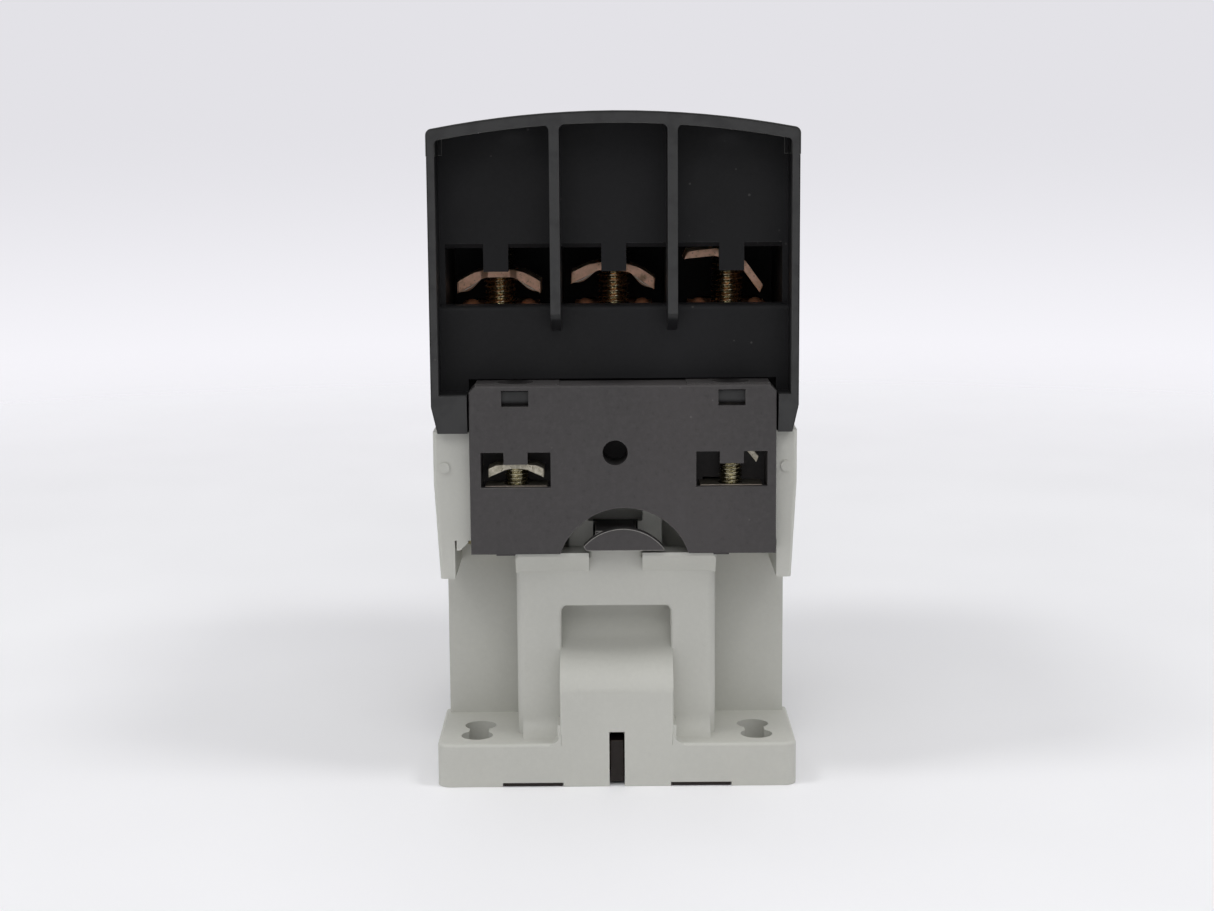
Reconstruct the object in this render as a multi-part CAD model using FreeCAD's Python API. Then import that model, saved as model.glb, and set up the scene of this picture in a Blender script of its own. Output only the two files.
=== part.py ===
import FreeCAD, Part
import math
import os

V = FreeCAD.Vector
os.makedirs("parts", exist_ok=True)

# ---------------------------------------------------------------- driving dimensions (mm)
# +Z points away from the mounting plane (z = 0), X is the width, Y the length.
HALF_W = 27.0            # half width of the feet and of the pole housing
HALF_L = 45.0            # half length
TOP_Z = 100.4            # apex of the arched cover
ARCH_R = 141.5           # radius of the arched cover
ARCH_Z = TOP_Z - ARCH_R  # height of the arch's axis
COVER_T = 1.65           # thickness of the arched cover
STEP_IN = 0.9            # the cover and body sit this far behind the rim's face
RIM_W = 26.72            # half width of the rim's face

FOOT_Z = 6.6
FOOT_Y = 27.0            # inner end of the feet, and the lower body's end faces
SIDE_X = 26.2            # lower body half width
BLOCK_X = 15.0           # level block half width
BLOCK_Y = 39.8           # level block front
BLOCK_Z = 34.0           # level block top
EAR_Z = 31.4             # bottom of the side ears
UPPER_Z = 37.2           # underside of the base's upper box
UPPER_Y = 42.0           # its end faces
BASE_TOP = 53.55
RAIL_SEAT = 7.6          # seat of the rail's flanges above the mounting plane
RAIL_HALF = 17.7         # half width of the rail channel (rail 35 wide)
HOLE_R = 2.4             # mounting slots
HOLE_OUT = (21.25, 40.0)
HOLE_IN = (21.0, 34.5)

POLE_BOTTOM = 53.6
BAND_TOP = 59.26         # floor of the end recesses
RECESS_X = 25.8
PANEL_LOW = 39.2         # lower panel face
PANEL_UP = 37.5          # upper panel face
PANEL_IN = 35.5          # inner face of both panels
MOUTH_LOW = 72.0         # wire opening
MOUTH_HIGH = 80.4
WALL_X = 8.55            # phase barriers
WALL_T = 1.44
POLES = (-17.5, 0.0, 17.5)
CAVITY = ((-25.0, -9.3), (-7.8, 7.8), (9.3, 25.0))
TERM_Y = 24.0            # power screw axes
TERM_FLOOR = 69.5
PLATE_TOP = 71.0
CHAMBER_Y = 15.0         # arc chamber half length

CARRIER_TRAVEL = 6.0
OVERTRAVEL = 2.05

BLK_X0, BLK_X1 = -21.4, 23.7   # coil terminal block
BLK_Z0, BLK_Z1 = 35.6, 60.75
BLK_BACK = 37.2
COIL_X = (-14.65, 17.15)       # coil screw axes
COIL_WIN = ((-19.8, -9.5), (11.9, 22.4))
COIL_Y = -41.0
STRAP_X = (-14.65, 14.9)       # straps from the coil plates back to the bobbin


# ---------------------------------------------------------------- helpers
def box(x0, x1, y0, y1, z0, z1):
    x0, x1 = min(x0, x1), max(x0, x1)
    y0, y1 = min(y0, y1), max(y0, y1)
    z0, z1 = min(z0, z1), max(z0, z1)
    return Part.makeBox(x1 - x0, y1 - y0, z1 - z0, V(x0, y0, z0))


def cyl(r, p, q):
    """Cylinder of radius r from point p to point q."""
    d = V(*q) - V(*p)
    return Part.makeCylinder(r, d.Length, V(*p), d)


def prism_x(points, x0, x1):
    """Closed (y, z) polygon swept from x0 to x1."""
    pts = [V(x0, y, z) for y, z in points]
    return Part.Face(Part.makePolygon(pts + pts[:1])).extrude(V(x1 - x0, 0, 0))


def prism_y(points, y0, y1):
    """Closed (x, z) polygon swept from y0 to y1."""
    pts = [V(x, y0, z) for x, z in points]
    return Part.Face(Part.makePolygon(pts + pts[:1])).extrude(V(0, y1 - y0, 0))


def prism_z(points, z0, z1):
    pts = [V(x, y, z0) for x, y in points]
    return Part.Face(Part.makePolygon(pts + pts[:1])).extrude(V(0, 0, z1 - z0))


def swept(face, way):
    """Face swept along way, as a solid that is the right way out."""
    s = face.extrude(way)
    if s.Volume < 0:
        s.reverse()
    return s


def fuse(*s):
    out = s[0]
    if len(s) > 1:
        out = out.multiFuse(list(s[1:]))
    return out.removeSplitter()


def cut(a, *s):
    flat = []
    for x in s:
        flat.extend(x if isinstance(x, (list, tuple)) else [x])
    return a.cut(flat)


def mirror_y(s):
    return s.mirror(V(0, 0, 0), V(0, 1, 0))


def edges_at(shape, test, way=None):
    """Edges whose both ends satisfy test(point), along one axis if way is given."""
    found = []
    for e in shape.Edges:
        if len(e.Vertexes) != 2 or not all(test(v.Point) for v in e.Vertexes):
            continue
        d = e.Vertexes[1].Point - e.Vertexes[0].Point
        if way is None or abs(getattr(d, way)) > 0.999 * d.Length:
            found.append(e)
    return found


def rounded(shape, r, test, way=None):
    """Fillet the edges picked by test, or leave the shape as it was."""
    es = edges_at(shape, test, way)
    if not es:
        return shape
    try:
        s = shape.makeFillet(r, es)
        if s.isValid() and s.Volume > 0:
            return s
    except Exception:
        pass
    print("fillet skipped", r, len(es))
    return shape


def near(a, b, tol=0.02):
    return abs(a - b) < tol


def arch(r, half, z0, y0, y1):
    """Solid below the arch of radius r, between x = -half and half, above z0."""
    zc = ARCH_Z
    zs = zc + math.sqrt(r * r - half * half)
    p = [V(-half, y0, z0), V(-half, y0, zs), V(0, y0, zc + r), V(half, y0, zs), V(half, y0, z0)]
    w = Part.Wire([
        Part.makeLine(p[0], p[1]),
        Part.Arc(p[1], p[2], p[3]).toShape(),
        Part.makeLine(p[3], p[4]),
        Part.makeLine(p[4], p[0]),
    ])
    return Part.Face(w).extrude(V(0, y1 - y0, 0))


def spring(cx, cy, z0, z1, mean_r, wire_r, turns):
    """Round-wire helical spring standing on z0."""
    h = z1 - z0 - 2 * wire_r
    pitch = h / turns
    helix = Part.makeHelix(pitch, h, mean_r)
    prof = Part.Wire(Part.makeCircle(wire_r, V(mean_r, 0, 0), V(0, 2 * math.pi * mean_r, pitch)))
    s = Part.Wire(helix.Edges).makePipeShell([prof], True, True)
    if s.Volume < 0:
        s.reverse()
    s.translate(V(cx, cy, z0 + wire_r))
    return s


def save(name, solids, expect=None):
    """One STEP file: a solid, or a group of separate solids."""
    if not isinstance(solids, (list, tuple)):
        solids = [solids]
    out = []
    for s in solids:
        out.extend(s.Solids)
    for s in out:
        if not s.isValid() or s.Volume <= 0:
            print("BAD", name, s.isValid(), s.Volume)
    if expect is not None and len(out) != expect:
        print("COUNT", name, len(out), "expected", expect)
    shape = out[0] if len(out) == 1 else Part.makeCompound(out)
    shape.exportStep("parts/" + name + ".step")
    return shape


# ---------------------------------------------------------------- base housing
SCOOP_TOP = 26.7
SCOOP = [V(0, y, z) for y, z in ((-45.35, 12.9), (-45.0, 14.2), (-44.2, 16.2), (-42.7, 18.1), (-40.4, 19.6), (-37.6, 20.9), (-35.4, 22.6), (-34.35, 24.8), (-34.2, SCOOP_TOP))]


def scoop(corners, half):
    """Solid between the scoop's curve and the given corners, half wide each side of x = 0."""
    curve = Part.BSplineCurve()
    curve.interpolate(SCOOP)
    c = [SCOOP[0]] + corners + [SCOOP[-1]]
    edges = [curve.toShape()] + [Part.makeLine(c[k], c[k + 1]) for k in range(len(c) - 1)]
    w = Part.Wire(Part.__sortEdges__(edges))
    s = swept(Part.Face(w), V(2 * half, 0, 0))
    s.translate(V(-half, 0, 0))
    return s


def base_end():
    """Foot and level block of one end, built at -Y and mirrored for +Y."""
    foot = box(-HALF_W, HALF_W, -HALF_L, -FOOT_Y + 2, 0, FOOT_Z)
    foot = rounded(foot, 2.0, lambda p: near(abs(p.x), HALF_W) and near(p.y, -HALF_L), "z")
    top = [e for e in foot.Edges if all(near(v.Point.z, FOOT_Z) for v in e.Vertexes) and e.BoundBox.Center.y < -FOOT_Y + 1.5]
    try:
        foot = foot.makeFillet(0.5, top)
    except Exception:
        print("foot top fillet skipped")
    lvl = box(-BLOCK_X, BLOCK_X, -BLOCK_Y, -FOOT_Y + 2, 0, BLOCK_Z)
    lvl = rounded(lvl, 1.3, lambda p: near(abs(p.x), BLOCK_X) and near(p.y, -BLOCK_Y), "z")
    # shelf that flares out below the coil terminal block, open in the middle
    for sx in (-1, 1):
        shelf = prism_x([(-BLOCK_Y + 2.0, 31.0), (-BLOCK_Y, 32.0), (-BLOCK_Y - 2.8, 34.8), (-BLOCK_Y - 2.8, 35.3), (-BLOCK_Y + 2.6, 35.3)], sx * 4.0, sx * BLOCK_X)
        shelf = rounded(shelf, 0.8, lambda p: near(abs(p.x), BLOCK_X) and p.y < -BLOCK_Y - 2.7, "z")
        lvl = fuse(lvl, shelf)
    return foot, lvl


def coved(foot, lvl):
    """Foot and level block joined, with a cove along the front where they meet."""
    r = 3.0
    cove = box(-14.2, 14.2, -BLOCK_Y - r, -BLOCK_Y + 1.0, FOOT_Z - 0.5, FOOT_Z + r)
    cove = cut(cove, cyl(r, (-16, -BLOCK_Y - r, FOOT_Z + r), (16, -BLOCK_Y - r, FOOT_Z + r)))
    return fuse(foot, lvl, cove)


def build_base():
    foot, lvl = base_end()
    body = box(-SIDE_X, SIDE_X, -FOOT_Y, FOOT_Y, 0, UPPER_Z + 2)
    # upper box with slightly flared sides
    prof = [(-SIDE_X, EAR_Z), (-HALF_W, 46.0), (-HALF_W, BASE_TOP), (HALF_W, BASE_TOP), (HALF_W, 46.0), (SIDE_X, EAR_Z)]
    upper = prism_y(prof, -UPPER_Y, UPPER_Y)
    ends = [e for e in upper.Edges if e.BoundBox.YLength < 0.01 and e.BoundBox.ZLength > 3]
    try:
        upper = upper.makeFillet(0.6, ends)
    except Exception:
        print("upper fillet skipped")
    upper = cut(upper, box(-24, 24, -UPPER_Y - 1, UPPER_Y + 1, EAR_Z - 1, UPPER_Z))
    pillar = box(-4.0, 4.0, -BLOCK_Y, -35.0, 30.0, 36.0)
    pillar = rounded(pillar, 0.4, lambda p: near(abs(p.x), 4.0) and near(p.y, -BLOCK_Y), "z")
    # the scoop's recess in the front level block, with rounded corners and front edges
    inner = scoop([V(0, -48, SCOOP[0].z), V(0, -48, SCOOP_TOP)], 8.25)
    inner = rounded(inner, 1.2, lambda p: near(p.z, SCOOP_TOP, 0.05) and near(abs(p.x), 8.25), "y")
    lvl_front = cut(lvl, inner)
    lip = [e for e in lvl_front.Edges if all(near(v.Point.y, -BLOCK_Y) and 20.2 < v.Point.z < 27.5 and abs(v.Point.x) < 8.3 for v in e.Vertexes)]
    up = [e for e in lvl_front.Edges if e.BoundBox.YLength < 0.01 and near(e.BoundBox.Center.y, -BLOCK_Y) and near(abs(e.BoundBox.Center.x), 8.25) and e.BoundBox.ZMax > 24]
    try:
        lvl_front = lvl_front.makeFillet(0.55, lip + [e for e in up if not any(e.isSame(q) for q in lip)])
    except Exception:
        print("scoop lip fillet skipped", len(lip), len(up))
    solids = [body, upper, coved(foot, lvl_front), pillar, mirror_y(coved(foot, lvl))]
    base = fuse(*solids)
    # main well, upper cavity
    base = cut(base,
               box(-24.2, 24.2, -25, 25, 9.6, 60),
               box(-24.8, 24.8, -35, 40, 39.2, 60),
               box(-12.6, 12.6, -32.0, -24, 11.0, 31.0),
               box(-12.6, 12.6, 24, 37.6, 11.0, 31.0))
    # pocket for the coil terminal block
    base = cut(base, box(BLK_X0 - 0.2, BLK_X1 + 0.2, -UPPER_Y - 1, -37.0, UPPER_Z - 0.01, 60))
    # wall with the T slot, standing between the level block and the upper box
    wall = box(-7, 7, -37.0, -35.0, 30.0, UPPER_Z + 4)
    base = fuse(base, wall)
    base = cut(base,
               box(-3.4, 3.4, -38.0, -34.0, 36.0, 39.2),
               box(-4.1, 4.1, -38.0, -34.0, 39.1, 43.5),
               box(-3.4, 3.4, -35.0, -24.0, 32.5, 39.3),
               box(-12.5, -7.0, -38.0, -34.0, BLOCK_Z + 0.2, 43.5),
               box(7.0, 12.5, -38.0, -34.0, BLOCK_Z + 0.2, 43.5))
    # the bay behind the T slot, open into the body
    base = cut(base, box(-12.5, 12.5, -35.0, -24.5, BLOCK_Z + 0.2, 40.0))
    # wall between that bay and the coil
    base = fuse(base, box(-12.8, 12.8, -32.4, -31.2, BLOCK_Z - 0.3, 45.5))
    # tongue with a scoop that runs back into the level block
    tongue = box(-8.5, 8.5, -HALF_L, -BLOCK_Y + 0.5, 0, 27.5)
    tongue = rounded(tongue, 0.4, lambda p: near(abs(p.x), 8.5) and near(p.y, -HALF_L), "z")
    # in front of the level block everything above the scoop goes
    tongue = cut(tongue, scoop([V(0, -48, SCOOP[0].z), V(0, -48, 31), V(0, -BLOCK_Y, 31), V(0, -BLOCK_Y, SCOOP_TOP)], 8.6))
    base = fuse(base, tongue)
    # flares where the tongue's sides meet the foot
    for sx in (-1, 1):
        fl = box(sx * 8.4, sx * 10.0, -HALF_L + 0.02, -BLOCK_Y + 0.1, FOOT_Z - 0.6, FOOT_Z + 1.5)
        fl = cut(fl, cyl(1.5, (sx * 10.0, -50, FOOT_Z + 1.5), (sx * 10.0, -30, FOOT_Z + 1.5)))
        step = box(sx * 8.4, sx * 8.9, -HALF_L + 0.3, -BLOCK_Y + 0.1, FOOT_Z - 0.6, 9.4)
        base = fuse(base, fl, step)
    # screwdriver slot, latch pocket and the thin notches for the latch arms
    base = cut(base,
               box(-1.15, 1.15, -46, -29.5, -1, 8.4),
               box(-17.4, 17.4, -43.0, -RAIL_HALF + 0.01, -1, 3.6),
               box(-17.4, 17.4, -24.4, -RAIL_HALF + 0.01, -1, 6.7),
               box(8.1, 17.2, -46, -42.9, -1, 0.6),
               box(-17.2, -8.1, -46, -42.9, -1, 0.6))
    for sx in (-1, 1):
        base = fuse(base, box(sx * 15.6, sx * 17.6, -34.0, -25.0, 0, 1.3))
    # rail channel and fixed hooks
    base = cut(base, box(-30, 30, -RAIL_HALF, RAIL_HALF, -1, RAIL_SEAT))
    base = cut(base, box(-30, 30, RAIL_HALF - 1, RAIL_HALF + 0.5, 6.3, RAIL_SEAT))
    for sx in (-1, 1):
        hook = prism_x([(RAIL_HALF + 0.1, 3.0), (15.4, 3.0), (14.8, 3.8), (14.8, 6.3), (RAIL_HALF + 0.1, 6.3)], sx * 8.0, sx * 22.0)
        base = fuse(base, hook)
    # mounting slots, two circles joined by a narrower neck
    for sx in (-1, 1):
        for sy in (-1, 1):
            base = cut(base,
                       cyl(HOLE_R, (sx * HOLE_OUT[0], sy * HOLE_OUT[1], -1), (sx * HOLE_OUT[0], sy * HOLE_OUT[1], 8)),
                       cyl(HOLE_R, (sx * HOLE_IN[0], sy * HOLE_IN[1], -1), (sx * HOLE_IN[0], sy * HOLE_IN[1], 8)),
                       box(sx * 21.1 - 1.5, sx * 21.1 + 1.5, sy * 34.5, sy * 40.0, -1, 8))
    # screw bosses for the housing screws
    for sx in (-1, 1):
        for sy in (-1, 1):
            x, y = sx * 20.4, sy * 31.0
            base = fuse(base, cyl(3.2, (x, y, UPPER_Z + 0.5), (x, y, BASE_TOP)))
            base = cut(base, cyl(1.65, (x, y, 30), (x, y, 60)))
    # slots for the coil straps
    for x in STRAP_X:
        base = cut(base, box(x - 1.8, x + 1.8, -38, -34, 44.3, 46.1))
    # catch beside the block, and plain raised pips on the ears
    base = fuse(base, prism_y([(-23.7, UPPER_Z + 0.1), (-22.0, UPPER_Z + 0.1), (-22.0, 36.9), (-23.2, 35.7), (-23.7, 35.7)], -UPPER_Y, -39.5))
    for x in (-25.35, 25.35):
        base = fuse(base, cyl(0.8, (x, -UPPER_Y - 0.25, 48.2), (x, -UPPER_Y + 0.5, 48.2)))
    return base.removeSplitter()


# ---------------------------------------------------------------- pole housing
def end_cutters():
    """Cutters for the recess of the -Y end."""
    r_in = ARCH_R - COVER_T
    c = []
    deep = arch(r_in, RECESS_X, MOUTH_LOW, -46, -PANEL_UP)
    deep = rounded(deep, 0.9, lambda p: near(abs(p.x), RECESS_X) and p.z > 90, "y")
    low = box(-RECESS_X, RECESS_X, -46, -PANEL_LOW, BAND_TOP, MOUTH_LOW + 0.01)
    c += [deep, low]
    # wire openings
    for (x0, x1), xc in zip(CAVITY, POLES):
        w = box(x0, x1, -PANEL_LOW - 0.5, -PANEL_IN + 0.6, MOUTH_LOW, MOUTH_HIGH)
        ch = 0.7
        lip = prism_y([(x0 - 0.0, MOUTH_LOW), (x0 - 0.0, MOUTH_HIGH + ch), (x1 + 0.0, MOUTH_HIGH + ch), (x1 + 0.0, MOUTH_LOW)], -PANEL_UP - 0.1, -PANEL_UP + 0.01)
        # sloped upper edge of the opening
        top = prism_x([(-PANEL_UP - 0.01, MOUTH_HIGH + ch), (-PANEL_UP + ch, MOUTH_HIGH), (-PANEL_UP - 0.01, MOUTH_HIGH)], x0, x1)
        w = w.multiFuse([lip, top])
        tab = box(xc - 1.85, xc + 1.85, -PANEL_UP, -PANEL_IN + 0.5, 76.9, MOUTH_HIGH + 1)
        w = cut(w, tab)
        c.append(w)
    return c


def barrier(x):
    """Phase barrier in the end recess: full height, slanting back at its foot."""
    r_in = ARCH_R - COVER_T
    b = prism_x([(-HALF_L, 71.2), (-PANEL_LOW + 0.3, 68.1), (-PANEL_IN + 0.3, 68.1), (-PANEL_IN + 0.3, 101), (-HALF_L, 101)], x - WALL_T / 2, x + WALL_T / 2)
    for sx in (-1, 1):
        xf = x + sx * WALL_T / 2
        zc = ARCH_Z + math.sqrt(r_in ** 2 - xf ** 2)
        c = box(xf - sx * 0.2, xf + sx * 0.9, -HALF_L, -PANEL_UP + 0.2, zc - 0.9, zc + 0.5)
        c = cut(c, cyl(0.9, (xf + sx * 0.9, -50, zc - 0.9), (xf + sx * 0.9, -30, zc - 0.9)))
        b = b.fuse(c)
    return b.common(arch(r_in, RECESS_X + 0.5, 50, -46, -30)).removeSplitter()


def build_pole_housing():
    r_in = ARCH_R - COVER_T
    # body below the cover, its sides rise to z = 94 outside and stay flush inside
    body = arch(r_in - 0.1, HALF_W, POLE_BOTTOM, -HALF_L + STEP_IN, HALF_L - STEP_IN)
    side = 94.0
    for sx in (-1, 1):
        body = cut(body, box(sx * 25.2, sx * 30, -50, 50, side, 110))
    # slanting tuck at the bottom edge
    t, hz = 0.9, 57.6 - POLE_BOTTOM
    for sx in (-1, 1):
        body = cut(body, prism_y([(sx * (HALF_W - t), POLE_BOTTOM - 0.01), (sx * (HALF_W + 1), POLE_BOTTOM - 0.01), (sx * (HALF_W + 1), 57.6), (sx * HALF_W, 57.6)], -50, 50))
    # rims of both ends
    def rim(y0, y1):
        r = ARCH_R - 0.25
        o = arch(r, RIM_W, POLE_BOTTOM, y0, y1)
        o = rounded(o, 0.8, lambda p: near(abs(p.x), RIM_W) and p.z > 90, "y")
        for sx in (-1, 1):
            o = cut(o, prism_y([(sx * (RIM_W - t), POLE_BOTTOM - 0.01), (sx * (RIM_W + 1), POLE_BOTTOM - 0.01), (sx * (RIM_W + 1), 57.6), (sx * RIM_W, 57.6)], -50, 50))
        return o
    front = rim(-HALF_L, -HALF_L + STEP_IN)
    rear = rim(HALF_L - STEP_IN, HALF_L)
    s = fuse(body, front, rear)
    # the end faces tuck back below z = 57.6
    for sy in (-1, 1):
        s = cut(s, prism_x([(sy * (HALF_L - 1.0), POLE_BOTTOM - 0.01), (sy * (HALF_L + 1), POLE_BOTTOM - 0.01), (sy * (HALF_L + 1), 57.6), (sy * HALF_L, 57.6)], -30, 30))
    # end recesses, with barriers put back
    cf = end_cutters()
    s = cut(s, cf)
    s = cut(s, [mirror_y(x) for x in cf])
    bars = [barrier(-WALL_X), barrier(WALL_X)]
    # terminal cavities and arc chambers
    for (x0, x1), xc in zip(CAVITY, POLES):
        for sy in (-1, 1):
            s = cut(s, box(x0, x1, sy * 16.5, sy * PANEL_IN, TERM_FLOOR, 105))
            s = cut(s, box(xc - 4.2, xc + 4.2, sy * 14.5, sy * 17.0, TERM_FLOOR, 71.3))
            s = cut(s, cyl(3.0, (xc, sy * TERM_Y, 66), (xc, sy * TERM_Y, 70)))
        s = cut(s, box(x0, x1, -8.5, 8.5, 62.0, 105), box(x0, x1, -CHAMBER_Y, CHAMBER_Y, TERM_FLOOR, 105))
        s = cut(s, box(xc - 4.7, xc + 4.7, -4.3, 4.3, 59, 63))
    s = fuse(s, *bars, *[mirror_y(b) for b in bars])
    # underside
    s = cut(s, box(-24.8, 24.8, -35.2, 35.2, 50, 60.0),
            box(-24.8, 24.8, -35.2, -17.5, 59, 67.5),
            box(-24.8, 24.8, 17.5, 35.2, 59, 67.5))
    # bosses for the housing screws
    for sx in (-1, 1):
        for sy in (-1, 1):
            x, y = sx * 20.4, sy * 31.0
            s = fuse(s, cyl(3.2, (x, y, POLE_BOTTOM), (x, y, 68.0)))
            s = cut(s, cyl(1.5, (x, y, 50), (x, y, 65.0)))
    # notch for the coil terminal block, with two snap tabs that reach into it
    s = cut(s, box(BLK_X0 - 0.3, BLK_X1 + 0.3, -46, -BLK_BACK + 0.1, 50, 61.1))
    for x in COIL_X:
        tab = box(x - 3.8, x + 3.8, -44.3, -BLK_BACK + 0.2, 57.85, 59.85)
        tab = rounded(tab, 0.9, lambda p: near(p.y, -44.3) and near(p.z, 57.85), "x")
        tab = cut(tab, cyl(2.9, (x, COIL_Y, 50), (x, COIL_Y, 62)))
        s = fuse(s, tab)
    # rounded upper edge of the lower panels
    for (x0, x1) in ((-RECESS_X, -WALL_X - WALL_T / 2), (-WALL_X + WALL_T / 2, WALL_X - WALL_T / 2), (WALL_X + WALL_T / 2, RECESS_X)):
        for sy in (-1, 1):
            q = box(x0, x1, sy * (PANEL_LOW + 0.01), sy * (PANEL_LOW - 0.8), MOUTH_LOW - 0.8, MOUTH_LOW + 0.01)
            q = cut(q, cyl(0.8, (x0 - 1, sy * (PANEL_LOW - 0.8), MOUTH_LOW - 0.8), (x1 + 1, sy * (PANEL_LOW - 0.8), MOUTH_LOW - 0.8)))
            s = cut(s, q)
    return s.removeSplitter()


def build_cover():
    r_in = ARCH_R - COVER_T
    y = HALF_L - STEP_IN - 0.02
    o = arch(ARCH_R, HALF_W, 94.1, -y, y)
    o = rounded(o, 0.9, lambda p: near(abs(p.x), HALF_W) and p.z > 95, "y")
    o = cut(o, arch(r_in, 25.25, 90, -y - 1, y + 1),
            arch(r_in, RECESS_X + 0.02, 90, -y - 1, -PANEL_UP - 0.02),
            arch(r_in, RECESS_X + 0.02, 90, PANEL_UP + 0.02, y + 1))
    holes = []
    for x in POLES:
        for sy in (-1, 1):
            holes.append(cyl(4.4, (x, sy * TERM_Y, 90), (x, sy * TERM_Y, 105)))
    for x in COIL_X:
        holes.append(cyl(2.6, (x, COIL_Y, 90), (x, COIL_Y, 105)))
    holes.append(box(-3.2, 3.2, -5.4, 5.4, 90, 105))
    # hook slots for add-on blocks
    for sx in (-1, 1):
        for sy in (-1, 1):
            holes.append(box(sx * 11.0, sx * 13.2, sy * 6.0, sy * 11.0, 90, 105))
    o = cut(o, holes)
    return o.removeSplitter()


# ---------------------------------------------------------------- coil terminal block
def build_block():
    o = box(BLK_X0, BLK_X1, -HALF_L, -BLK_BACK, BLK_Z0, BLK_Z1)
    try:
        es = edges_at(o, lambda p: near(p.z, BLK_Z1) and near(abs(p.x - (BLK_X0 + BLK_X1) / 2), (BLK_X1 - BLK_X0) / 2), "y")
        o = o.makeChamfer(1.0, es)
    except Exception:
        print("block chamfer skipped")
    o = rounded(o, 0.35, lambda p: near(p.y, -HALF_L))
    hollow = box(BLK_X0 + 1.5, BLK_X1 - 1.5, -43.5, -BLK_BACK + 1, BLK_Z0 + 1.5, BLK_Z1 - 1.6)
    arch_axis = (1.3, 32.5)
    keep = [cyl(11.5, (arch_axis[0], -HALF_L, arch_axis[1]), (arch_axis[0], -BLK_BACK, arch_axis[1]))]
    for (x0, x1) in COIL_WIN:
        keep.append(box(x0 - 1.2, x1 + 1.2, -HALF_L, -BLK_BACK, 43.2, BLK_Z1))
    keep.append(cyl(3.2, (0, -44, 50.75), (0, -BLK_BACK, 50.75)))
    hollow = cut(hollow, keep)
    o = cut(o, hollow)
    o = cut(o, cyl(10.0, (arch_axis[0], -50, arch_axis[1]), (arch_axis[0], -30, arch_axis[1])),
            cyl(1.875, (0, -46, 50.75), (0, -38.4, 50.75)))
    # raised strips of the top face
    for (x0, x1) in ((-20.5, -8.2), (10.6, 22.8)):
        o = fuse(o, box(x0, x1, -44.3, -BLK_BACK, BLK_Z1 - 0.5, BLK_Z1 + 0.15))
    for (x0, x1), xc, xs in zip(COIL_WIN, COIL_X, STRAP_X):
        room = box(x0, x1, -43.7, -38.3, 44.7, 57.0)
        win = box(x0, x1, -46, -43.6, 45.6, 50.9)
        tab = box(xc - 1.75, xc + 1.75, -46, -43.6, 49.1, 52)
        win = cut(win, tab)
        o = cut(o, room, win,
                box(xs - 1.8, xs + 1.8, -38.4, -37.0, 44.7, 46.0),
                cyl(2.1, (xc, COIL_Y, 42), (xc, COIL_Y, 46)),
                box(xc - 4.0, xc + 4.0, -44.4, -37.0, 57.65, 60.05),
                box(xc - 2.0, xc + 2.0, -46, -44.3, 57.65, 60.05),
                cyl(2.7, (xc, COIL_Y, 54), (xc, COIL_Y, 62)))
    # small ribs under the lower edge
    for (x0, x1) in ((-17.7, -14.9), (14.5, 16.8)):
        o = fuse(o, box(x0, x1, -44.2, -42.5, BLK_Z0 - 0.3, BLK_Z0 + 0.5))
    return o.removeSplitter()


# ---------------------------------------------------------------- terminals
def screw_power(x, sy):
    y = sy * TERM_Y
    s = fuse(cyl(2.5, (x, y, 68.9), (x, y, 81.4)), cyl(4.0, (x, y, 81.3), (x, y, 84.6)))
    s = rounded_top(s, 4.0, 84.6)
    # cross recess
    s = cut(s, box(x - 2.4, x + 2.4, y - 0.5, y + 0.5, 82.6, 86), box(x - 0.5, x + 0.5, y - 2.4, y + 2.4, 82.6, 86))
    return s


def rounded_top(s, r, z):
    try:
        es = [e for e in s.Edges if len(e.Vertexes) == 1 and near(e.Vertexes[0].Point.z, z) and hasattr(e.Curve, "Radius") and near(e.Curve.Radius, r)]
        return s.makeFillet(0.6, es) if es else s
    except Exception:
        return s


CLAMP_T = 1.1


def saddle(half=6.42, flat=2.2, depth=8.6, slope=30.0, t=CLAMP_T):
    """Wire clamp about its own centre: flat underside at z = 0, wings sloping down."""
    a = math.radians(slope)
    dz = (half - flat) * math.tan(a)
    under = [(-half, -dz), (-flat, 0.0), (flat, 0.0), (half, -dz)]
    ox = t * math.tan(a / 2)
    top = [(half + t * math.sin(a) * 0.0, -dz + t / math.cos(a)), (flat + ox * 0.0 + t * math.tan(a / 2), t), (-flat - t * math.tan(a / 2), t), (-half, -dz + t / math.cos(a))]
    pts = under + top
    s = prism_y(pts, -depth / 2, depth / 2)
    # low ribs across the wings' underside grip the wire
    return s


def clamp_power(x, sy, z, tilt, shift=0.0):
    s = saddle()
    s.rotate(V(0, 0, 0), V(0, 1, 0), tilt)
    s.translate(V(x + shift, sy * TERM_Y, z))
    return cut(s, cyl(2.9, (x, sy * TERM_Y, 60), (x, sy * TERM_Y, 95)))


def fixed_contact(x, sy):
    s = fuse(box(x - 6.0, x + 6.0, sy * 17.2, sy * 35.0, TERM_FLOOR, PLATE_TOP),
             box(x - 4.0, x + 4.0, sy * 9.6, sy * 17.4, TERM_FLOOR, PLATE_TOP))
    for dx in (-4.4, 4.4):
        s = fuse(s, Part.makeSphere(1.3, V(x + dx, sy * TERM_Y, PLATE_TOP - 0.5)))
    return cut(s, cyl(2.56, (x, sy * TERM_Y, 60), (x, sy * TERM_Y, 75)), box(x - 8, x + 8, -40, 40, TERM_FLOOR - 2, TERM_FLOOR))


def coil_plate(x, xs):
    s = fuse(box(x - 4.6, x + 4.6, -43.5, -38.5, 44.7, 45.7),
             box(xs - 1.5, xs + 1.5, -38.6, -17.2, 44.7, 45.7),
             box(xs - 1.5, xs + 1.5, -17.2, -16.2, 39.8, 45.7))
    return cut(s, cyl(1.81, (x, COIL_Y, 40), (x, COIL_Y, 50)))


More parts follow.
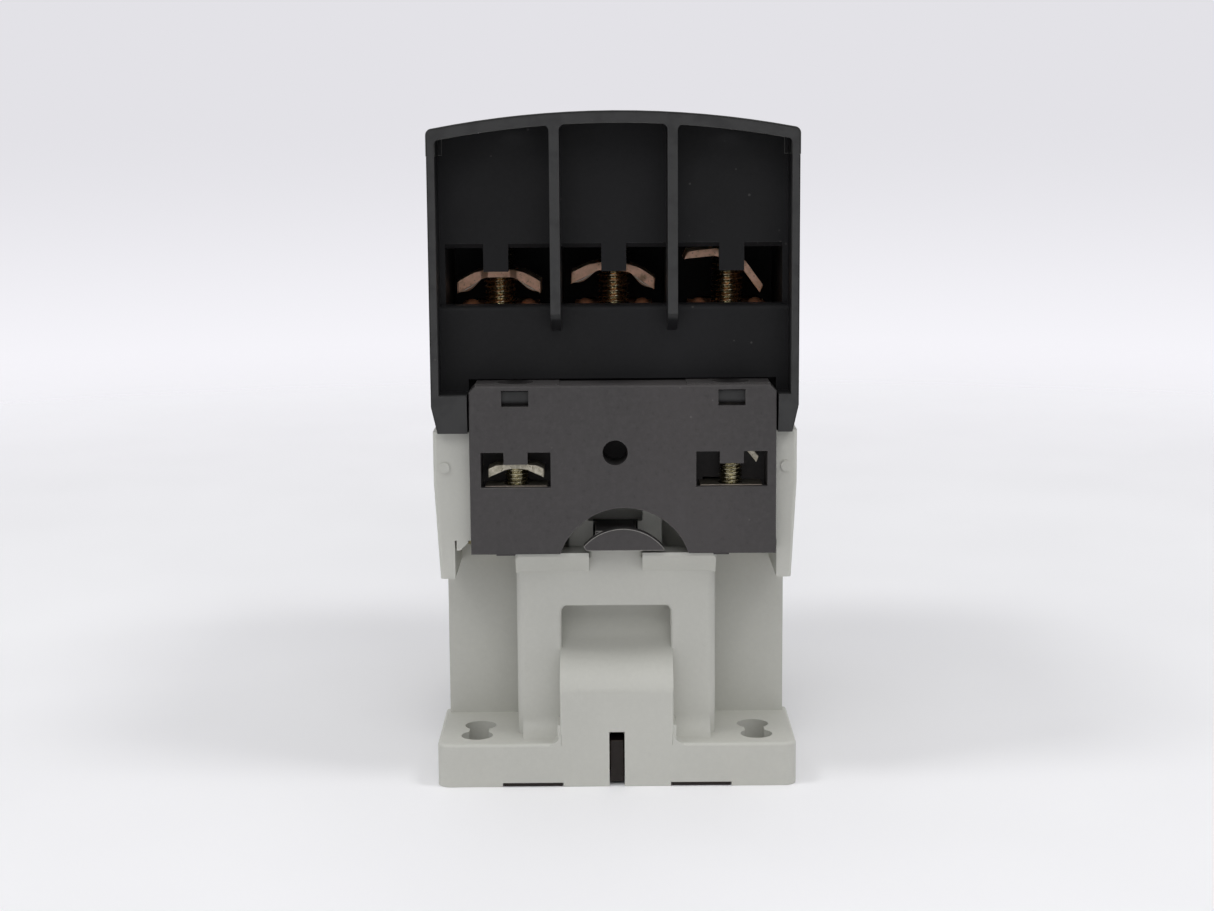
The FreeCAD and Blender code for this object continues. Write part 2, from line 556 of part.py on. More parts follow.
def coil_screw(x, raised):
    s = fuse(cyl(1.75, (x, COIL_Y, 41.1), (x, COIL_Y, 51.4)), cyl(2.5, (x, COIL_Y, 51.3), (x, COIL_Y, 53.6)))
    s = cut(s, box(x - 2.0, x + 2.0, COIL_Y - 0.4, COIL_Y + 0.4, 52.5, 55))
    s.translate(V(0, 0, raised))
    return s


def coil_clamp(x, z, tilt, shift=0.0):
    s = saddle(4.15, 1.3, 4.6, 24.0, 0.8)
    s.rotate(V(0, 0, 0), V(0, 1, 0), tilt)
    s.translate(V(x + shift, COIL_Y, z))
    return cut(s, cyl(2.1, (x, COIL_Y, 40), (x, COIL_Y, 60)))


# ---------------------------------------------------------------- magnet and carrier
def e_core(z_back0, z_back1, z_tip):
    s = box(-20, 20, -8, 8, z_back0, z_back1)
    lo, hi = min(z_tip, z_back0), max(z_tip, z_back1)
    return fuse(s, box(-20, -13, -8, 8, lo, hi), box(-6.5, 6.5, -8, 8, lo, hi), box(13, 20, -8, 8, lo, hi))


CORE_TIP = 30.5
ARM_TIP = CORE_TIP + CARRIER_TRAVEL + 0.1


def ring_shape(x, z0, z1):
    return cut(box(x - 2.4, x + 2.4, -6.5, 1.5, z0, z1), box(x - 1.3, x + 1.3, -5.4, 0.4, z0 - 1, z1 + 1))


def build_core():
    s = e_core(11.0, 18.0, CORE_TIP)
    return cut(s, ring_shape(-16.5, 28.8, 31), ring_shape(16.5, 28.8, 31))


def build_armature():
    s = e_core(46.6, 53.6, ARM_TIP)
    return cut(s, cyl(2.05, (0, -12, 50), (0, 12, 50)))


def build_bobbin():
    s = fuse(box(-8, 8, -9.6, 9.6, 18.2, 39.4), box(-12.6, 12.6, -15.4, 15.4, 18.2, 19.6), box(-12.6, 12.6, -15.4, 15.4, 38.0, 39.4),
             box(-16.6, -10.5, -17.4, -13.0, 38.0, 39.8), box(10.5, 16.6, -17.4, -13.0, 38.0, 39.8))
    return cut(s, box(-6.8, 6.8, -8.3, 8.3, 17, 41))


def build_winding():
    o = box(-12.1, 12.1, -14.8, 14.8, 19.65, 37.95)
    o = rounded(o, 3.0, lambda p: near(abs(p.x), 12.1) and near(abs(p.y), 14.8), "z")
    return cut(o, box(-8.05, 8.05, -9.65, 9.65, 15, 42))


def build_carrier():
    s = [box(-21.7, 21.7, -16, 16, 55.8, 59.8)]
    for x in POLES:
        p = box(x - 4.4, x + 4.4, -4.0, 4.0, 59.0, 92.0)
        s.append(p)
    s.append(box(-2.8, 2.8, -5.0, 5.0, 91.0, 99.6))
    for sy in (-1, 1):
        s.append(box(-4.5, 4.5, sy * 8.3, sy * 10.5, 46.0, 56.5))
    c = fuse(*s)
    for x in POLES:
        c = cut(c, box(x - 3.2, x + 3.2, -5, 5, 77.25, 89.5))
    c = cut(c, cyl(2.05, (0, -12, 50), (0, 12, 50)))
    return c.removeSplitter()


def bridge(x):
    return box(x - 3.0, x + 3.0, -14.4, 14.4, 77.3, 78.8)


def tip_pair(x, z0, z1, y0, y1, half):
    return [box(x - half, x + half, -y1, -y0, z0, z1), box(x - half, x + half, y0, y1, z0, z1)]


def splitter(x0, x1, sy, z):
    p = box(x0 + 0.02, x1 - 0.02, sy * 6.4, sy * (CHAMBER_Y - 0.02), z, z + 0.9)
    xc = (x0 + x1) / 2
    # V notch towards the contacts
    n = prism_z([(xc - 2.4, sy * 6.0), (xc + 2.4, sy * 6.0), (xc, sy * 10.0)], z - 1, z + 2)
    return cut(p, n)


# ---------------------------------------------------------------- rail latch and release tab
def build_latch():
    s = box(-16.9, 16.9, -38.5, -17.9, 0.5, 3.2)
    lip = prism_x([(-20.2, 0.5), (-17.6, 0.5), (-15.0, 3.1), (-15.0, 6.2), (-20.2, 6.2)], -16.9, 16.9)
    nose = box(-0.95, 0.95, -44.0, -32.0, 0.5, 6.8)
    s = fuse(s, lip, nose)
    for sx in (-1, 1):
        s = fuse(s, box(sx * 8.3, sx * 17.0, -44.8, -37.0, 0.05, 0.5))
        s = cut(s, box(sx * 15.3, sx * 18, -39, -20.5, 0.0, 1.6))
        s = fuse(s, box(sx * 8.3, sx * 15.2, -38.5, -36.0, 0.05, 0.6))
        s = cut(s, box(sx * 4.2, sx * 7.8, -39, -28.0, -1, 4))
    return s.removeSplitter()


def latch_spring(x):
    s = spring(0, 0, 0, 14.6, 1.15, 0.25, 7)
    s.rotate(V(0, 0, 0), V(1, 0, 0), -90)   # axis along +Y
    s.translate(V(x, -42.8, 1.95))
    return s


def build_release_tab():
    xc, half, rise, r = 1.2, 6.0, 3.3, 7.1
    zb = 35.95
    yc0, yc1 = -44.3, -42.3
    p0, p1, p2 = V(xc - half, yc0, zb + 0.6), V(xc, yc0, zb + rise), V(xc + half, yc0, zb + 0.3)
    w = Part.Wire([Part.Arc(p0, p1, p2).toShape(), Part.makeLine(p2, V(xc + half, yc0, zb)),
                   Part.makeLine(V(xc + half, yc0, zb), V(xc - half + 0.5, yc0, zb)),
                   Part.makeLine(V(xc - half + 0.5, yc0, zb), p0)])
    head = Part.Face(w).extrude(V(0, yc1 - yc0, 0))
    stem = box(-3.0, 3.0, yc1 - 0.5, -33.4, 36.3, 38.7)
    bar = box(-3.9, 3.9, -34.8, -33.4, 36.3, 38.7)
    return fuse(head, stem, bar)


# ---------------------------------------------------------------- write everything
def main():
    base = save("base_housing", build_base(), 1)
    pole = save("pole_housing", build_pole_housing(), 1)
    save("front_cover", build_cover(), 1)
    save("coil_terminal_block", build_block(), 1)
    save("housing_screws", [fuse(cyl(1.45, (sx * 20.4, sy * 31.0, 36.5), (sx * 20.4, sy * 31.0, 64.0)),
                                 cyl(2.9, (sx * 20.4, sy * 31.0, 34.9), (sx * 20.4, sy * 31.0, 37.15)))
                            for sx in (-1, 1) for sy in (-1, 1)], 4)
    save("fixed_magnet_core", build_core(), 1)
    save("shading_rings", [ring_shape(-16.5, 28.8, 30.4), ring_shape(16.5, 28.8, 30.4)], 2)
    save("core_damper_pads", [box(sx * 8, sx * 19, -6.5, 6.5, 9.6, 11.0) for sx in (-1, 1)], 2)
    save("coil_bobbin", build_bobbin(), 1)
    save("coil_winding", build_winding(), 1)
    save("coil_terminal_plates", [coil_plate(x, xs) for x, xs in zip(COIL_X, STRAP_X)], 2)
    save("fixed_contacts_front", [fixed_contact(x, -1) for x in POLES], 3)
    save("fixed_contacts_rear", [fixed_contact(x, 1) for x in POLES], 3)
    tips = []
    for x in POLES:
        tips += tip_pair(x, PLATE_TOP, 72.1, 10.4, 14.2, 2.8)
    save("fixed_contact_tips", tips, 6)
    plates = []
    for (x0, x1) in CAVITY:
        for sy in (-1, 1):
            for k in range(4):
                plates.append(splitter(x0, x1, sy, 81.5 + 3.2 * k))
    save("arc_splitter_plates", plates, 24)
    save("return_springs", [spring(0, sy * 12.9, 39.4, 55.8, 1.9, 0.25, 7) for sy in (-1, 1)], 2)
    save("contact_springs", [spring(x, 0, 78.8, 89.5, 2.1, 0.3, 5) for x in POLES], 3)
    save("contact_carrier", build_carrier(), 1)
    save("magnet_armature", build_armature(), 1)
    save("armature_pin", cyl(2.0, (0, -10.4, 50), (0, 10.4, 50)), 1)
    for i, x in enumerate(POLES, 1):
        save("contact_bridge_%d" % i, bridge(x), 1)
        save("bridge_tips_%d" % i, tip_pair(x, 76.1, 77.3, 10.6, 14.0, 2.6), 2)
    save("rail_latch", build_latch(), 1)
    save("rail_latch_springs", [latch_spring(-6.0), latch_spring(6.0)], 2)
    save("coil_block_release_tab", build_release_tab(), 1)
    front = ((75.4, 0.0, 0.0), (76.3, 4.0, 0.0), (77.6, 24.0, 0.0))
    rear = ((75.4, 0.0, 0.0), (75.4, 0.0, 0.0), (75.4, 0.0, 0.0))
    for i, x in enumerate(POLES, 1):
        save("power_screw_front_%d" % i, screw_power(x, -1), 1)
        save("power_screw_rear_%d" % i, screw_power(x, 1), 1)
        save("power_clamp_front_%d" % i, clamp_power(x, -1, *front[i - 1]), 1)
        save("power_clamp_rear_%d" % i, clamp_power(x, 1, *rear[i - 1]), 1)
    for side, x, z, tilt, up, dx in (("left", COIL_X[0], 48.2, 0.0, 0.0, 0.0), ("right", COIL_X[1], 52.0, 27.0, 3.0, 0.6)):
        save("coil_screw_" + side, coil_screw(x, up), 1)
        save("coil_clamp_" + side, coil_clamp(x, z, tilt, dx), 1)


main()
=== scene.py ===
import math
import random

import bmesh
import bpy
from mathutils import Matrix, Vector


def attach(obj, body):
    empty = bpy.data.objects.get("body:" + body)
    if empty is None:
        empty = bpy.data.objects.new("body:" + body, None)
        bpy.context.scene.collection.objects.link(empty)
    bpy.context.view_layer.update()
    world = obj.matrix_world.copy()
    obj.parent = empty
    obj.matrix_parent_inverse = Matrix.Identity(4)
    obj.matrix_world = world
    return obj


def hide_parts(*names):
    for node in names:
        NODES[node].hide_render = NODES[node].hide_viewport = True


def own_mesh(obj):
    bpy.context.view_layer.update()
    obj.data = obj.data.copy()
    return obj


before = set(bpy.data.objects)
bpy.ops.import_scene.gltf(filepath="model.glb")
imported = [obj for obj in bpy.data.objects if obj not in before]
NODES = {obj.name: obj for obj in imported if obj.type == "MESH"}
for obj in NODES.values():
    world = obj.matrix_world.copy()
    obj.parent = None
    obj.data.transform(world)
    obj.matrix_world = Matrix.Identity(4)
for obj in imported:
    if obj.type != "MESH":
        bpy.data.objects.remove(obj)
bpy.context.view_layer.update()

MM = 0.001
scene = bpy.context.scene
rng = random.Random(11)


# ------------------------------------------------------------------ colour and material graph
def lin(r, g, b):
    """sRGB 0..255 to linear."""
    out = []
    for v in (r, g, b):
        v /= 255.0
        out.append(v / 12.92 if v <= 0.04045 else ((v + 0.055) / 1.055) ** 2.4)
    return tuple(out)


def shade(c, k):
    return tuple(min(1.0, v * k) for v in c)


class Graph:
    """A material built from procedural nodes in the object's own coordinates (metres)."""

    def __init__(self, name):
        self.mat = bpy.data.materials.new(name)
        self.mat.use_nodes = True
        self.tree = self.mat.node_tree
        self.tree.nodes.clear()
        out = self.tree.nodes.new("ShaderNodeOutputMaterial")
        self.bsdf = self.tree.nodes.new("ShaderNodeBsdfPrincipled")
        self.tree.links.new(self.bsdf.outputs[0], out.inputs[0])
        self.at = self.tree.nodes.new("ShaderNodeTexCoord").outputs["Object"]
        self.relief = None

    def new(self, kind, inputs=None, **props):
        n = self.tree.nodes.new(kind)
        for k, v in props.items():
            setattr(n, k, v)
        for k, v in (inputs or {}).items():
            s = n.inputs[k]
            if isinstance(v, bpy.types.NodeSocket):
                self.tree.links.new(v, s)
            else:
                s.default_value = v
        return n

    def place(self, scale=(1, 1, 1), turn=(0, 0, 0), move=(0, 0, 0)):
        return self.new("ShaderNodeMapping", {"Vector": self.at, "Scale": scale, "Rotation": turn, "Location": move}).outputs[0]

    def axis(self, i):
        return self.new("ShaderNodeSeparateXYZ", {0: self.at}).outputs[i]

    def noise(self, scale, detail=3.0, rough=0.55, at=None, distort=0.0):
        return self.new("ShaderNodeTexNoise", {"Vector": at or self.at, "Scale": scale, "Detail": detail, "Roughness": rough, "Distortion": distort}).outputs[0]

    def cells(self, scale, at=None):
        return self.new("ShaderNodeTexVoronoi", {"Vector": at or self.at, "Scale": scale}).outputs["Distance"]

    def ramp(self, fac, a, b, lo=0.0, hi=1.0):
        return self.new("ShaderNodeMapRange", {0: fac, 1: a, 2: b, 3: lo, 4: hi}, interpolation_type="SMOOTHSTEP").outputs[0]

    def math(self, op, a, b=0.0):
        return self.new("ShaderNodeMath", {0: a, 1: b}, operation=op).outputs[0]

    def mix(self, fac, a, b):
        n = self.new("ShaderNodeMix", data_type="RGBA")
        for i, v in ((0, fac), (6, a), (7, b)):
            if isinstance(v, bpy.types.NodeSocket):
                self.tree.links.new(v, n.inputs[i])
            else:
                n.inputs[i].default_value = v if i == 0 else (*v, 1.0)
        return n.outputs[2]

    def bump(self, height, strength, distance_mm):
        inputs = {"Height": height, "Strength": strength, "Distance": distance_mm * MM}
        if self.relief is not None:
            inputs["Normal"] = self.relief
        self.relief = self.new("ShaderNodeBump", inputs).outputs[0]

    def done(self, colour, rough, **fixed):
        """fixed holds the shader's own sockets, such as Metallic, that are the same all over."""
        b = self.bsdf
        self.tree.links.new(colour, b.inputs["Base Color"])
        self.tree.links.new(rough, b.inputs["Roughness"])
        if self.relief is not None:
            self.tree.links.new(self.relief, b.inputs["Normal"])
        for k, v in fixed.items():
            b.inputs[k.replace("_", " ")].default_value = v
        return self.mat


def moulded(name, c, rough=0.5, grain=0.16, spec=0.4, speck=0.25, speck_c=(0.5, 0.48, 0.45), cast=0.07,
            rim=None, tint=None, rub=0.12, tone=1.0):
    """Injection-moulded plastic: spark-eroded grain, faint flow lines, dust and rubbed patches.
    rim = (start_mm, end_mm, colour) paints a highlight on the faces nearest both ends of the object, the front and
    back rims, where they catch the light."""
    g = Graph(name)
    broad = g.noise(38.0, 2.0)
    flow = g.noise(60.0, 2.0, at=g.place((1.0, 1.0, 0.22)))
    fine = g.noise(1500.0, 2.0, 0.6)
    mid = g.noise(420.0, 2.0)
    col = g.mix(g.ramp(broad, 0.34, 0.66), shade(c, 1 - cast), shade(c, 1 + cast))
    col = g.mix(g.ramp(flow, 0.45, 0.75, 0.0, 0.45 * tone), col, shade(tint or c, 1.12))
    col = g.mix(g.ramp(fine, 0.42, 0.72, 0.0, 0.35 * tone), col, shade(c, 1.3))
    col = g.mix(g.ramp(fine, 0.40, 0.24, 0.0, 0.4 * tone), col, shade(c, 0.72))
    # painted highlight: the faces nearest both ends are lightened towards the rim colour, for the light the rims catch
    if rim:
        edge = g.ramp(g.math("ABSOLUTE", g.axis(1)), rim[0] * MM, rim[1] * MM)
        rim_highlight = g.math("MULTIPLY", edge, g.ramp(mid, 0.25, 0.6, 0.72, 1.0))
        col = g.mix(rim_highlight, col, rim[2])
    dust = g.cells(520.0)
    few = g.ramp(g.noise(170.0, 1.0), 0.55, 0.66)
    spots = g.math("MULTIPLY", g.ramp(dust, 0.13, 0.06), few)
    col = g.mix(g.math("MULTIPLY", spots, speck), col, speck_c)
    scuff = g.noise(240.0, 3.0, at=g.place((1.0, 1.0, 0.12), (0.2, 0.5, 0.1)))
    rubbed = g.ramp(scuff, 0.60, 0.74)
    col = g.mix(g.math("MULTIPLY", rubbed, rub), col, shade(c, 1.6))
    r = g.ramp(g.noise(90.0, 3.0), 0.3, 0.7, rough - 0.06, rough + 0.08)
    r = g.math("SUBTRACT", r, g.math("MULTIPLY", rubbed, 0.10))
    g.bump(g.noise(160.0, 2.0), 0.10, 0.10)
    g.bump(fine, grain, 0.045)
    return g.done(col, r, Specular_IOR_Level=spec)


def metal(name, c, other, rough=0.36, stain=None, blotch=900.0, grain=0.12, brushed=None, spec=0.5, metallic=1.0, dark=0.3):
    """Plated or bare metal: plating colour drifts to other, with scratches, pits and stain."""
    g = Graph(name)
    drift = g.noise(blotch, 3.0, 0.6, distort=0.4)
    col = g.mix(g.ramp(drift, 0.32, 0.68), c, other)
    pits = g.ramp(g.noise(2600.0, 2.0), 0.60, 0.72)
    col = g.mix(g.math("MULTIPLY", pits, dark), col, stain or shade(c, 0.3))
    if brushed:
        lines = g.noise(1.0, 3.0, 0.6, at=g.place(brushed))
    else:
        lines = g.noise(700.0, 4.0, 0.65, at=g.place((1.0, 0.14, 1.0), (0.4, 0.2, 0.7)))
    col = g.mix(g.ramp(lines, 0.58, 0.78, 0.0, 0.5), col, shade(c, 1.35))
    if stain:
        col = g.mix(g.ramp(g.noise(330.0, 3.0), 0.58, 0.74, 0.0, 0.6), col, stain)
    r = g.ramp(drift, 0.25, 0.75, rough - 0.09, rough + 0.12)
    r = g.math("ADD", r, g.math("MULTIPLY", pits, 0.15))
    g.bump(lines, grain, 0.03)
    g.bump(pits, -0.15, 0.02)
    return g.done(col, r, Metallic=metallic, Specular_IOR_Level=spec)


def laminated(name, c, axis, pitch_mm):
    """A stack of thin steel sheets, seen as fine lines across one axis."""
    g = Graph(name)
    s = g.math("FRACT", g.math("DIVIDE", g.axis(axis), pitch_mm * MM))
    gap = g.ramp(g.math("ABSOLUTE", g.math("SUBTRACT", s, 0.5)), 0.34, 0.47)
    drift = g.noise(300.0, 3.0)
    sheet = g.noise(1.0, 1.0, at=g.place(tuple(1.0 / (pitch_mm * MM) if i == axis else 25.0 for i in range(3))))
    col = g.mix(g.ramp(drift, 0.3, 0.7), shade(c, 0.75), shade(c, 1.2))
    col = g.mix(g.ramp(sheet, 0.35, 0.7, 0.0, 0.5), col, lin(150, 140, 128))
    col = g.mix(g.math("MULTIPLY", gap, 0.85), col, lin(28, 24, 22))
    rust = g.ramp(g.noise(210.0, 4.0, 0.65), 0.62, 0.76, 0.0, 0.5)
    col = g.mix(rust, col, lin(96, 62, 40))
    r = g.ramp(drift, 0.2, 0.8, 0.36, 0.55)
    g.bump(gap, -0.6, 0.06)
    return g.done(col, r, Metallic=1.0)


def wound(name, c, pitch_mm):
    """Enamelled wire: the enamel varies a little from turn to turn."""
    g = Graph(name)
    turn = g.noise(1.0, 1.0, at=g.place((30.0, 30.0, 0.7 / (pitch_mm * MM))))
    col = g.mix(g.ramp(turn, 0.3, 0.7), shade(c, 0.7), shade(c, 1.35))
    col = g.mix(g.ramp(g.noise(800.0, 2.0), 0.55, 0.75, 0.0, 0.4), col, lin(120, 52, 22))
    r = g.ramp(g.noise(300.0), 0.3, 0.7, 0.22, 0.36)
    g.bump(g.noise(1800.0, 2.0), 0.08, 0.02)
    return g.done(col, r, Metallic=0.75, Coat_Weight=0.6, Coat_Roughness=0.18)


DARK = lin(31, 31, 32)
# the rim colour is a painted highlight for the lit front and back rims of the dark housing and cover
RIM_HIGHLIGHT = lin(62, 62, 62)
BLOCK = lin(69, 67, 67)
LIGHT = lin(189, 189, 182)

# The lighter edge copies below go on the bevelled edges as a painted highlight.
M_HOUSING = moulded("housing_plastic", DARK, 0.54, 0.2, 0.16, 0.22, (0.20, 0.19, 0.18), rim=(42.6, 44.0, RIM_HIGHLIGHT), tint=lin(35, 35, 38), rub=0.04, tone=0.7)
M_HOUSING_EDGE_HIGHLIGHT = moulded("housing_plastic_edge_highlight", lin(76, 76, 75), 0.46, 0.12, 0.3, 0.2, (0.25, 0.24, 0.22))
M_COVER = moulded("cover_plastic", lin(35, 35, 35), 0.52, 0.2, 0.18, 0.22, (0.20, 0.19, 0.18), rim=(42.6, 44.0, RIM_HIGHLIGHT), tint=lin(38, 38, 40), rub=0.04, tone=0.7)
M_COVER_EDGE_HIGHLIGHT = moulded("cover_plastic_edge_highlight", lin(88, 88, 85), 0.46, 0.12, 0.3, 0.2, (0.25, 0.24, 0.22))
M_BLOCK = moulded("block_plastic", BLOCK, 0.52, 0.2, 0.20, 0.22, (0.28, 0.27, 0.25), cast=0.035, tint=lin(70, 67, 67))
M_BLOCK_EDGE_HIGHLIGHT = moulded("block_plastic_edge_highlight", lin(138, 136, 132), 0.44, 0.12, 0.35, 0.2, (0.35, 0.34, 0.32))
M_LIGHT = moulded("base_plastic", LIGHT, 0.46, 0.10, 0.42, 0.10, (0.40, 0.38, 0.34), cast=0.02, tint=lin(190, 187, 178), rub=0.02, tone=0.22)
M_LIGHT_EDGE_HIGHLIGHT = moulded("base_plastic_edge_highlight", lin(196, 195, 188), 0.42, 0.06, 0.4, 0.1, (0.42, 0.40, 0.36), cast=0.02, rub=0.02, tone=0.22)
M_LATCH = moulded("latch_plastic", lin(34, 28, 25), 0.42, 0.1, 0.25, 0.2, (0.2, 0.18, 0.16))
M_LATCH_EDGE_HIGHLIGHT = moulded("latch_plastic_edge_highlight", lin(70, 58, 52), 0.38, 0.08, 0.35, 0.2, (0.25, 0.22, 0.2))
M_CARRIER = moulded("carrier_plastic", lin(38, 37, 38), 0.44, 0.14, 0.4, 0.25)
M_CARRIER_EDGE_HIGHLIGHT = moulded("carrier_plastic_edge_highlight", lin(66, 65, 66), 0.38, 0.1, 0.5, 0.2)
M_BOBBIN = moulded("bobbin_plastic", lin(112, 106, 94), 0.48, 0.22, 0.4, 0.2, cast=0.1)
M_BOBBIN_EDGE_HIGHLIGHT = moulded("bobbin_plastic_edge_highlight", lin(138, 132, 120), 0.42, 0.15, 0.4, 0.2)
M_RUBBER = moulded("damper_rubber", lin(34, 34, 35), 0.72, 0.35, 0.3, 0.35)
M_RUBBER_EDGE_HIGHLIGHT = moulded("damper_rubber_edge_highlight", lin(52, 52, 53), 0.65, 0.3, 0.3, 0.3)

# The lighter, glossier edge copies of the metals go on the bevelled edges as a painted highlight.
M_COPPER = metal("contact_copper", (0.92, 0.46, 0.27), (0.72, 0.32, 0.17), 0.34, stain=lin(104, 60, 42), blotch=420.0, metallic=0.6)
M_COPPER_EDGE_HIGHLIGHT = metal("contact_copper_edge_highlight", (0.93, 0.55, 0.38), (0.80, 0.42, 0.27), 0.26, blotch=600.0)
M_SILVER = metal("contact_silver", (0.86, 0.85, 0.82), (0.70, 0.67, 0.62), 0.30, stain=lin(120, 112, 98), blotch=700.0)
M_SILVER_EDGE_HIGHLIGHT = metal("contact_silver_edge_highlight", (0.92, 0.91, 0.88), (0.8, 0.78, 0.74), 0.24, blotch=700.0)
M_TIN = metal("tin_plate", (0.64, 0.60, 0.50), (0.46, 0.42, 0.34), 0.42, stain=lin(92, 78, 56), blotch=800.0, metallic=0.8)
M_TIN_EDGE_HIGHLIGHT = metal("tin_plate_edge_highlight", (0.70, 0.66, 0.56), (0.52, 0.48, 0.39), 0.38, stain=lin(96, 84, 60), blotch=900.0, metallic=0.7)
M_PLATE = metal("coil_plate_tin", (0.34, 0.31, 0.26), (0.22, 0.20, 0.16), 0.42, stain=lin(60, 50, 38), blotch=700.0, metallic=0.9)
M_PLATE_EDGE_HIGHLIGHT = metal("coil_plate_tin_edge_highlight", (0.42, 0.36, 0.31), (0.28, 0.24, 0.20), 0.40, blotch=900.0, metallic=0.8)
M_COIL_CUT = metal("coil_clamp_cut_face", (0.60, 0.56, 0.46), (0.36, 0.33, 0.25), 0.5, stain=lin(92, 82, 56), blotch=1500.0, metallic=0.35, dark=0.7)
M_ZINC = metal("yellow_zinc", (0.78, 0.68, 0.42), (0.56, 0.52, 0.36), 0.30, stain=lin(88, 74, 40), blotch=1300.0)
M_ZINC_EDGE_HIGHLIGHT = metal("yellow_zinc_edge_highlight", (0.90, 0.84, 0.62), (0.72, 0.66, 0.46), 0.26, blotch=1300.0)
M_CUT = metal("clamp_cut_face", (0.98, 0.60, 0.43), (0.84, 0.52, 0.34), 0.38, stain=lin(110, 84, 42), blotch=1200.0, metallic=0.25, dark=0.5, spec=0.8)
M_CLAMP = metal("clamp_plate", (0.66, 0.50, 0.38), (0.50, 0.38, 0.26), 0.42, stain=lin(84, 70, 42), blotch=1100.0, metallic=0.75)
# near-white and mostly diffuse: a painted glint for the ribs under the clamp wings
M_RIB_GLINT = metal("clamp_rib_glint", (0.92, 0.90, 0.82), (0.74, 0.70, 0.58), 0.34, blotch=1500.0, metallic=0.25, spec=0.8)
# darker than the head's yellow zinc: painted shade for the thread deep in its bay
M_THREAD_SHADED = metal("screw_thread_shaded", (0.58, 0.54, 0.40), (0.38, 0.35, 0.24), 0.19, stain=lin(52, 44, 24), blotch=700.0, grain=0.04)
M_SPRING = metal("spring_steel", (0.62, 0.62, 0.62), (0.46, 0.46, 0.47), 0.28, blotch=900.0)
M_STEEL = metal("bright_steel", (0.66, 0.65, 0.63), (0.50, 0.49, 0.48), 0.30, stain=lin(80, 72, 60), blotch=800.0)
M_STEEL_EDGE_HIGHLIGHT = metal("bright_steel_edge_highlight", (0.78, 0.77, 0.75), (0.64, 0.63, 0.61), 0.24, blotch=800.0)
M_WIRE = wound("enamelled_wire", lin(150, 66, 30), 0.5)
M_CORE = laminated("core_laminations", lin(126, 122, 118), 1, 0.5)


# ------------------------------------------------------------------ mesh helpers
def add(name, bm, mats, smooth=40.0):
    """A new object from a bmesh, shaded smooth below the given edge angle."""
    bmesh.ops.recalc_face_normals(bm, faces=bm.faces)
    lim = math.radians(smooth)
    for f in bm.faces:
        f.smooth = True
    for e in bm.edges:
        e.smooth = len(e.link_faces) == 2 and e.calc_face_angle(0.0) < lim
    me = bpy.data.meshes.new(name)
    bm.to_mesh(me)
    bm.free()
    for m in mats:
        me.materials.append(m)
    o = bpy.data.objects.new(name, me)
    scene.collection.objects.link(o)
    return o


def welded(node):
    """A bmesh copy of a CAD node, with its seams closed."""
    bm = bmesh.new()
    bm.from_mesh(NODES[node].data)
    bmesh.ops.remove_doubles(bm, verts=bm.verts, dist=1e-6)
    for f in bm.faces:
        f.material_index = 0
    return bm


def soften(o, width_mm=0.15, segments=2, angle=28.0, edge_slot=None):
    m = o.modifiers.new("bevel", "BEVEL")
    m.width = width_mm * MM
    m.segments = segments
    m.limit_method = "ANGLE"
    m.angle_limit = math.radians(angle)
    m.use_clamp_overlap = True
    m.miter_outer = "MITER_ARC"
    m.harden_normals = False
    if edge_slot is not None:
        m.material = edge_slot
    return m


def fix(o):
    """Applies the object's modifiers."""
    dg = bpy.context.evaluated_depsgraph_get()
    me = bpy.data.meshes.new_from_object(o.evaluated_get(dg), preserve_all_data_layers=True, depsgraph=dg)
    o.modifiers.clear()
    old = o.data
    o.data = me
    me.name = o.name
    bpy.data.meshes.remove(old)
    return o


def cut(o, tool, op="DIFFERENCE"):
    m = o.modifiers.new("cut", "BOOLEAN")
    m.object = tool
    m.operation = op
    m.solver = "EXACT"
    fix(o)
    bpy.data.objects.remove(tool)
    return o


def drum(name, r, p, q, n=48):
    bm = bmesh.new()
    p, q = Vector(p) * MM, Vector(q) * MM
    d = q - p
    turn = d.to_track_quat("Z", "Y").to_matrix().to_4x4()
    bmesh.ops.create_cone(bm, cap_ends=True, segments=n, radius1=r * MM, radius2=r * MM, depth=d.length,
                          matrix=Matrix.Translation((p + q) / 2) @ turn)
    return add(name, bm, [])


def grid_tube(bm, rings, closed_ends=True):
    """Quads between rings of equal length, each ring a loop of points in metres."""
    rows = [[bm.verts.new(p) for p in ring] for ring in rings]
    n = len(rows[0])
    for a, b in zip(rows, rows[1:]):
        for i in range(n):
            j = (i + 1) % n
            bm.faces.new((a[i], a[j], b[j], b[i]))
    if closed_ends:
        bm.faces.new(rows[0][::-1])
        bm.faces.new(rows[-1])
    return rows


def wire(bm, path, r, sides=10):
    """A round wire of radius r (mm) along a list of points (mm)."""
    pts = [Vector(p) for p in path]
    rings, up = [], Vector((0, 0, 1))
    for i, p in enumerate(pts):
        t = (pts[min(i + 1, len(pts) - 1)] - pts[max(i - 1, 0)]).normalized()
        u = t.cross(up)
        u = u.normalized() if u.length > 1e-6 else t.orthogonal().normalized()
        w = u.cross(t).normalized()
        rings.append([(p + (u * math.cos(a) + w * math.sin(a)) * r) * MM for a in (2 * math.pi * k / sides for k in range(sides))])
    grid_tube(bm, rings)


